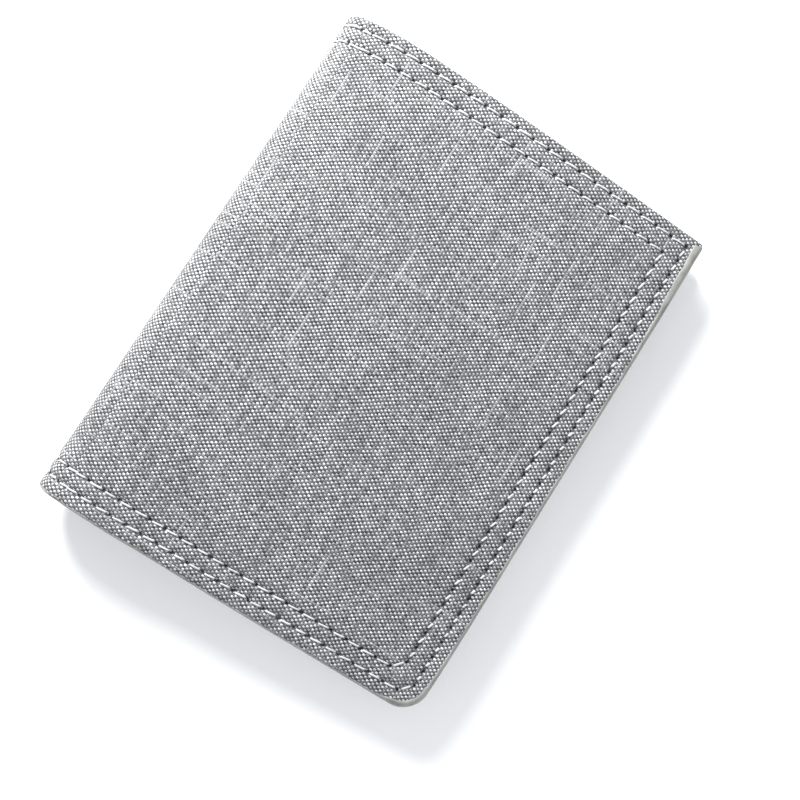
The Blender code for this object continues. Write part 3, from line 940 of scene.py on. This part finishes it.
def build_inside(side, looks):
    leaf, canvas = LEAF_NAMES[side], looks["canvas"]
    build_stiffener(side, looks["board"])
    name, start_x = f"{leaf}_card_backing", CARD_X - 0.4 * MM
    piece = leaf_sheet(side, name, "card_panel", PANEL_PLY, INSIDE_TOP, start_x)
    dress(piece, canvas, [f"{leaf}_card_panel"], leaf)
    for number, (node, mouth) in enumerate(zip(POCKETS[side], MOUTHS[side]), 1):
        if node == "front_window_frame":
            piece = window_surround("front_window_surround", mouth)
            thread = "front_window_thread"
        else:
            name = f"{leaf}_card_slot_{number}"
            piece = leaf_sheet(side, name, f"pocket_{number}", POCKET_PLY, mouth, CARD_X)
            thread = f"{node}_thread"
        dress(piece, canvas, [node], leaf)
        build_mouth_thread(side, number, mouth, thread, looks["thread"])
    build_inside_seams(side, looks["thread"])


# Materials.


def arithmetic(operation):
    return lambda value, other: value.graph.math(operation, value, other)


class Value:
    """A number or a vector in a shader; arithmetic on it adds math nodes."""

    def __init__(self, graph, socket):
        self.graph, self.socket = graph, socket

    __add__ = arithmetic("ADD")
    __sub__ = arithmetic("SUBTRACT")
    __mul__ = arithmetic("MULTIPLY")
    __truediv__ = arithmetic("DIVIDE")


class Graph:
    """Adds shader nodes to a new material and links them."""

    def __init__(self, name):
        self.material = bpy.data.materials.new(name)
        self.material.use_nodes = True
        self.tree = self.material.node_tree
        self.shader = self.tree.nodes["Principled BSDF"]

    def feed(self, socket, value):
        if isinstance(value, Value):
            self.tree.links.new(value.socket, socket)
        else:
            socket.default_value = value

    def node(self, kind, inputs, output=0, **settings):
        made = self.tree.nodes.new(kind)
        for key, value in settings.items():
            setattr(made, key, value)
        for key, value in inputs.items():
            self.feed(made.inputs[key], value)
        return Value(self, made.outputs[output])

    def math(self, operation, *values):
        return self.node("ShaderNodeMath", dict(enumerate(values)), operation=operation)

    def spread(self, value, low, high, to_low=0.0, to_high=1.0, kind="SMOOTHSTEP"):
        inputs = {"Value": value, "From Min": low, "From Max": high}
        inputs.update({"To Min": to_low, "To Max": to_high})
        return self.node("ShaderNodeMapRange", inputs, "Result", interpolation_type=kind)

    def ramp(self, value, low, high, to_low, to_high):
        return self.spread(value, low, high, to_low, to_high, "LINEAR")

    def vary(self, noise, to_low, to_high):
        return self.ramp(noise, 0.3, 0.7, to_low, to_high)

    def vector(self, x, y, z=0.0):
        return self.node("ShaderNodeCombineXYZ", {0: x, 1: y, 2: z})

    def cloth(self):
        """The place on the cloth, as a vector and as its three numbers."""
        place = self.node("ShaderNodeAttribute", {}, "Vector", attribute_name="cloth")
        split = self.tree.nodes.new("ShaderNodeSeparateXYZ")
        self.feed(split.inputs[0], place)
        return place, *(Value(self, output) for output in split.outputs)

    def noise(self, vector, scale, detail=2.0):
        inputs = {"Vector": vector, "Scale": scale, "Detail": detail}
        return self.node("ShaderNodeTexNoise", inputs)

    def chance(self, x, y, seed):
        inputs = {"Vector": self.vector(x, y, seed)}
        return self.node("ShaderNodeTexWhiteNoise", inputs, "Value", noise_dimensions="3D")

    def blend(self, factor, a, b):
        return self.node("ShaderNodeMix", {0: factor, 2: a, 3: b}, data_type="FLOAT")

    def tint(self, value, colour):
        """A grey value times a colour."""
        parts = {i: value * channel for i, channel in enumerate(colour)}
        return self.node("ShaderNodeCombineColor", parts)

    def surface(self, colour, roughness, height=None, distance=0.0, strength=1.0, **extra):
        """Finishes the material; height is pressed into the surface over a distance."""
        extra.update({"Base Color": colour, "Roughness": roughness})
        if height is not None:
            inputs = {"Height": height, "Distance": distance, "Strength": strength}
            extra["Normal"] = self.node("ShaderNodeBump", inputs)
        for key, value in extra.items():
            self.feed(self.shader.inputs[key.replace("_", " ")], value)
        return self.material


# Radii of the painted shade in a needle hole, its dark middle and its rim, the same for the band of
# painted shade along the seam, how dark that band is, and how far this painted shade reaches past
# the seam's ends.
HOLE_SHADE_SPOT = (0.24 * MM, 0.50 * MM)
SEAM_SHADE_BAND = (0.10 * MM, 0.55 * MM)
SEAM_BAND_SHADE = 0.42
SEAM_OVERRUN = 0.3 * MM


def seam_shade_mask(graph, run, height):
    """Painted shade for the cover's seams: 1 in the needle holes of their straight stretches, up to
    SEAM_BAND_SHADE in a band along each seam, 0 elsewhere.
    """
    found = None
    place = (graph.math("ABSOLUTE", run), height)
    for start, end, length, count in OUTER_ROW.spans + INNER_ROW.spans:
        level, upright = (start[axis] == end[axis] for axis in (1, 0))
        if not level and not upright:
            continue
        main, other = (0, 1) if level else (1, 0)
        across, along = place[other] - start[other], place[main] - start[main]
        to_hole = graph.math("PINGPONG", along, length / count / 2)
        distance = graph.math("SQRT", across * across + to_hole * to_hole)
        hole_shade = graph.spread(distance, *HOLE_SHADE_SPOT, 1.0, 0.0)
        band_shade = graph.spread(graph.math("ABSOLUTE", across), *SEAM_SHADE_BAND, SEAM_BAND_SHADE, 0.0)
        low, high = sorted((start[main], end[main]))
        past_low = graph.math("GREATER_THAN", place[main], low - SEAM_OVERRUN)
        before_high = graph.math("LESS_THAN", place[main], high + SEAM_OVERRUN)
        hole_shade = graph.math("MAXIMUM", hole_shade, band_shade) * (past_low * before_high)
        found = hole_shade if found is None else graph.math("MAXIMUM", found, hole_shade)
    return found


# Slubs: how much lighter than a dark crossing, how rare, and how many threads long.
SLUB_LIGHT = 2.3
SLUB_RARITY = 0.98
WARP_SLUB = 17.0
WEFT_SLUB = 13.0


def canvas_material(name, light, dark, with_holes):
    """A plain weave of light threads along the spine and dark ones across, with slubs and painted
    shade between the threads.
    """
    graph = Graph(name)
    place, run, height, _ = graph.cloth()
    u = run / WARP_PITCH + (graph.noise(place, 70.0, 1.0) - 0.5) * 1.6
    v = height / WEFT_PITCH + (graph.noise(place, 55.0, 1.0) - 0.5) * 2.0
    warp, weft = graph.math("FLOOR", u), graph.math("FLOOR", v)
    across_warp = graph.math("SINE", (u - warp) * math.pi)
    across_weft = graph.math("SINE", (v - weft) * math.pi)
    over = graph.math("FLOORED_MODULO", warp + weft, 2.0)
    warp_height = across_warp * (across_weft * 0.55 + 0.45)
    weft_height = across_weft * (across_warp * 0.55 + 0.45)
    relief = graph.blend(over, weft_height, warp_height)
    cell = graph.chance(warp, weft, 3.0)
    warp_streak = graph.noise(graph.vector(warp * 7.31, v * 0.035), 1.0, 1.0)
    weft_streak = graph.noise(graph.vector(weft * 5.17, u * 0.05, 9.0), 1.0, 1.0)
    slubs = []
    for thread, along, seed in ((warp, v / WARP_SLUB, 5.0), (weft, u / WEFT_SLUB, 6.0)):
        luck = graph.chance(thread, graph.math("FLOOR", along), seed)
        slubs.append(graph.math("GREATER_THAN", luck, SLUB_RARITY))
    lights = graph.spread(warp_streak, 0.30, 0.72, 0.80, 1.20) * graph.ramp(cell, 0, 1, 0.66, 1.34)
    darks = graph.spread(weft_streak, 0.40, 0.80, 0.75, 1.6) * graph.ramp(cell, 0, 1, 1.5, 0.4)
    darks = graph.blend(graph.math("MAXIMUM", *slubs), darks, SLUB_LIGHT)
    value = graph.blend(over, darks * dark, lights * light)
    fibre = graph.noise(place, 5200.0, 2.0)
    value = value * graph.vary(fibre, 0.72, 1.28)
    # Painted shade: darker in the gaps between warp threads and between weft threads.
    value = value * graph.spread(across_warp, 0.0, 0.62, 0.28, 1.0)
    value = value * graph.spread(across_weft, 0.0, 0.66, 0.48, 1.0)
    cloudy = graph.noise(place, 38.0, 3.0)
    value = value * graph.vary(cloudy, 0.93, 1.07)
    # Painted shade: darkens the needle holes and a band along each seam of the cover.
    if with_holes:
        value = value * graph.ramp(seam_shade_mask(graph, run, height), 0, 1, 1.0, 0.10)
    roughness = graph.ramp(relief, 0.0, 1.0, 0.95, 0.78)
    colour = graph.tint(value, (0.965, 0.985, 1.03))
    sheen = {"Sheen_Weight": 0.12, "Sheen_Roughness": 0.5, "Specular_IOR_Level": 0.3}
    return graph.surface(colour, roughness, relief + fibre * 0.18, 0.16 * MM, **sheen)


def lining_material():
    """Charcoal nylon: a fine twill with a soft shine."""
    graph = Graph("lining_twill")
    place, run, height, _ = graph.cloth()
    diagonal = run / (0.30 * MM) + height / (0.30 * MM)
    rib = graph.math("SINE", diagonal * (2 * math.pi))
    thread = graph.math("SINE", height * (2 * math.pi / (0.16 * MM)))
    relief = rib * 0.5 + thread * 0.2
    cloudy = graph.noise(place, 60.0, 3.0)
    # Painted shade: the twill's grooves are darker than its ribs, plus a random cloudy tone.
    value = graph.ramp(relief + cloudy * 0.8, -0.4, 1.2, 0.030, 0.085)
    roughness = graph.vary(cloudy, 0.42, 0.60)
    colour = graph.tint(value, (0.93, 0.98, 1.12))
    return graph.surface(colour, roughness, relief, 0.05 * MM, Sheen_Weight=0.3)


def thread_material():
    """Light bonded thread with a slight gloss and a little lint."""
    graph = Graph("sewing_thread")
    place, run, height, _ = graph.cloth()
    strand = graph.math("SINE", (run + height) * (2 * math.pi / (0.22 * MM)))
    patch = graph.noise(place, 420.0, 2.0)
    # Painted shade: darker between the twisted strands; the patches are the thread's own uneven
    # tone.
    value = graph.vary(patch, 0.55, 0.76) * graph.ramp(strand, -1, 1, 0.86, 1.04)
    roughness = graph.vary(patch, 0.38, 0.55)
    return graph.surface(graph.tint(value, (0.985, 0.99, 1.0)), roughness, strand, 0.03 * MM)


def paint_material():
    """Satin edge paint, brushed on unevenly."""
    graph = Graph("edge_paint_satin")
    place, run, height, depth = graph.cloth()
    patch = graph.noise(place, 230.0, 4.0)
    grain = graph.noise(place, 1600.0, 3.0)
    streak = graph.noise(graph.vector(run, height * 0.25, depth), 900.0, 2.0)
    value = graph.ramp(patch * 0.6 + streak * 0.4, 0.35, 0.68, 0.18, 0.33)
    roughness = graph.vary(patch, 0.36, 0.58)
    height = patch * 0.8 + grain * 0.35
    colour = graph.tint(value, (1.0, 1.0, 0.945))
    return graph.surface(colour, roughness, height, 0.12 * MM, Specular_IOR_Level=0.45)


def board_material():
    graph = Graph("stiffening_board")
    fibres = graph.noise(graph.cloth()[0], 900.0, 4.0)
    value = graph.vary(fibres, 0.30, 0.44)
    return graph.surface(graph.tint(value, (1.05, 0.93, 0.78)), 0.9, fibres, 0.05 * MM)


def film_material():
    graph = Graph("clear_film")
    place = graph.cloth()[0]
    scuff = graph.noise(place, 600.0, 3.0)
    roughness = graph.ramp(scuff, 0.35, 0.7, 0.06, 0.22)
    ripple = graph.noise(place, 55.0, 2.0)
    clear = {"Alpha": 0.12, "Specular_IOR_Level": 0.8}
    return graph.surface((0.42, 0.45, 0.47, 1.0), roughness, ripple, 0.3 * MM, 0.3, **clear)


def floor_material():
    graph = Graph("pale_floor")
    place = graph.node("ShaderNodeTexCoord", {}, "Object")
    tone = graph.vary(graph.noise(place, 18.0, 3.0), 0.905, 0.925)
    return graph.surface(graph.tint(tone, (0.992, 0.996, 1.0)), 0.6)


# Stage, light and camera.

FLOOR_HALF = 3.0
FLOOR_GAP = 0.2 * MM
CAMERA_FROM_CENTRE = Vector((0.00081, -0.01851, 0.20147))
CAMERA_BACK = Vector((-0.03759, -0.07234, 0.99667))
CAMERA_UP = Vector((-0.53905, 0.84129, 0.04073))
CAMERA_LENS = 40.5
SENSOR_WIDTH = 36.0
WORLD_COLOUR = (0.95, 0.97, 1.0, 1.0)
WORLD_STRENGTH = 0.58


def build_floor():
    mesh = bpy.data.meshes.new("floor")
    corners = [(x * FLOOR_HALF, y * FLOOR_HALF, 0) for x, y in ((-1, -1), (1, -1), (1, 1), (-1, 1))]
    mesh.from_pydata(corners, [], [(0, 1, 2, 3)])
    floor = add_object("floor", mesh)
    floor.location.z = LOW.z - FLOOR_GAP
    mesh.materials.append(floor_material())


def area_light(name, place, target, size, power, colour):
    light = bpy.data.lights.new(name, "AREA")
    light.shape = "DISK"
    light.size, light.energy, light.color = size, power, colour
    obj = add_object(name, light)
    obj.location = place
    direction = Vector(target) - Vector(place)
    obj.rotation_euler = direction.to_track_quat("-Z", "Y").to_euler()


def build_light():
    area_light("key", (-0.20, 0.15, 0.16), (-0.01, 0.0, 0.0), 0.13, 2.2, (1.0, 0.985, 0.96))
    area_light("fill", (0.30, -0.20, 0.75), (0, 0, 0), 0.8, 3.0, (0.96, 0.98, 1.0))
    world = bpy.data.worlds.new("soft_studio")
    world.use_nodes = True
    background = world.node_tree.nodes["Background"]
    background.inputs[0].default_value = WORLD_COLOUR
    background.inputs[1].default_value = WORLD_STRENGTH
    bpy.context.scene.world = world


def build_camera():
    data = bpy.data.cameras.new("camera")
    data.lens = CAMERA_LENS
    data.sensor_width = SENSOR_WIDTH
    data.clip_start = 0.01
    camera = add_object("camera", data)
    back = CAMERA_BACK.normalized()
    right = CAMERA_UP.cross(back).normalized()
    turn = Matrix((right, back.cross(right), back)).transposed()
    centre = Vector(((LOW.x + HIGH.x) / 2, (LOW.y + HIGH.y) / 2, LOW.z))
    camera.matrix_world = Matrix.Translation(centre + CAMERA_FROM_CENTRE) @ turn.to_4x4()
    bpy.context.scene.camera = camera


NOTE_LINING_TOP = TOP_Y - 1.5 * MM
INNER_LINING_TOP = INSIDE_TOP - 0.1 * MM
INNER_LINING_MIDDLE = 1.75 * MM

looks = {
    "cover": canvas_material("cover_canvas_weave", 0.458, 0.110, with_holes=True),
    "canvas": canvas_material("pocket_canvas_weave", 0.42, 0.10, with_holes=False),
    "lining": lining_material(),
    "thread": thread_material(),
    "paint": paint_material(),
    "board": board_material(),
    "film": film_material(),
}
for part in ("back", "spine", "front"):
    build_cover(part, looks["cover"])
    build_lining(part, "note_lining", NOTE_LINING_TOP, COVER_DEPTH + SPINE_AIR, looks["lining"])
    build_lining(part, "inner_lining", INNER_LINING_TOP, INNER_LINING_MIDDLE, looks["lining"])
    build_bead(part, looks["paint"])
build_cover_seams(looks["thread"])
for side in LEAF_NAMES:
    build_inside(side, looks)
build_film(looks["film"])
build_floor()
build_light()
build_camera()
bpy.context.scene.view_settings.view_transform = "Standard"
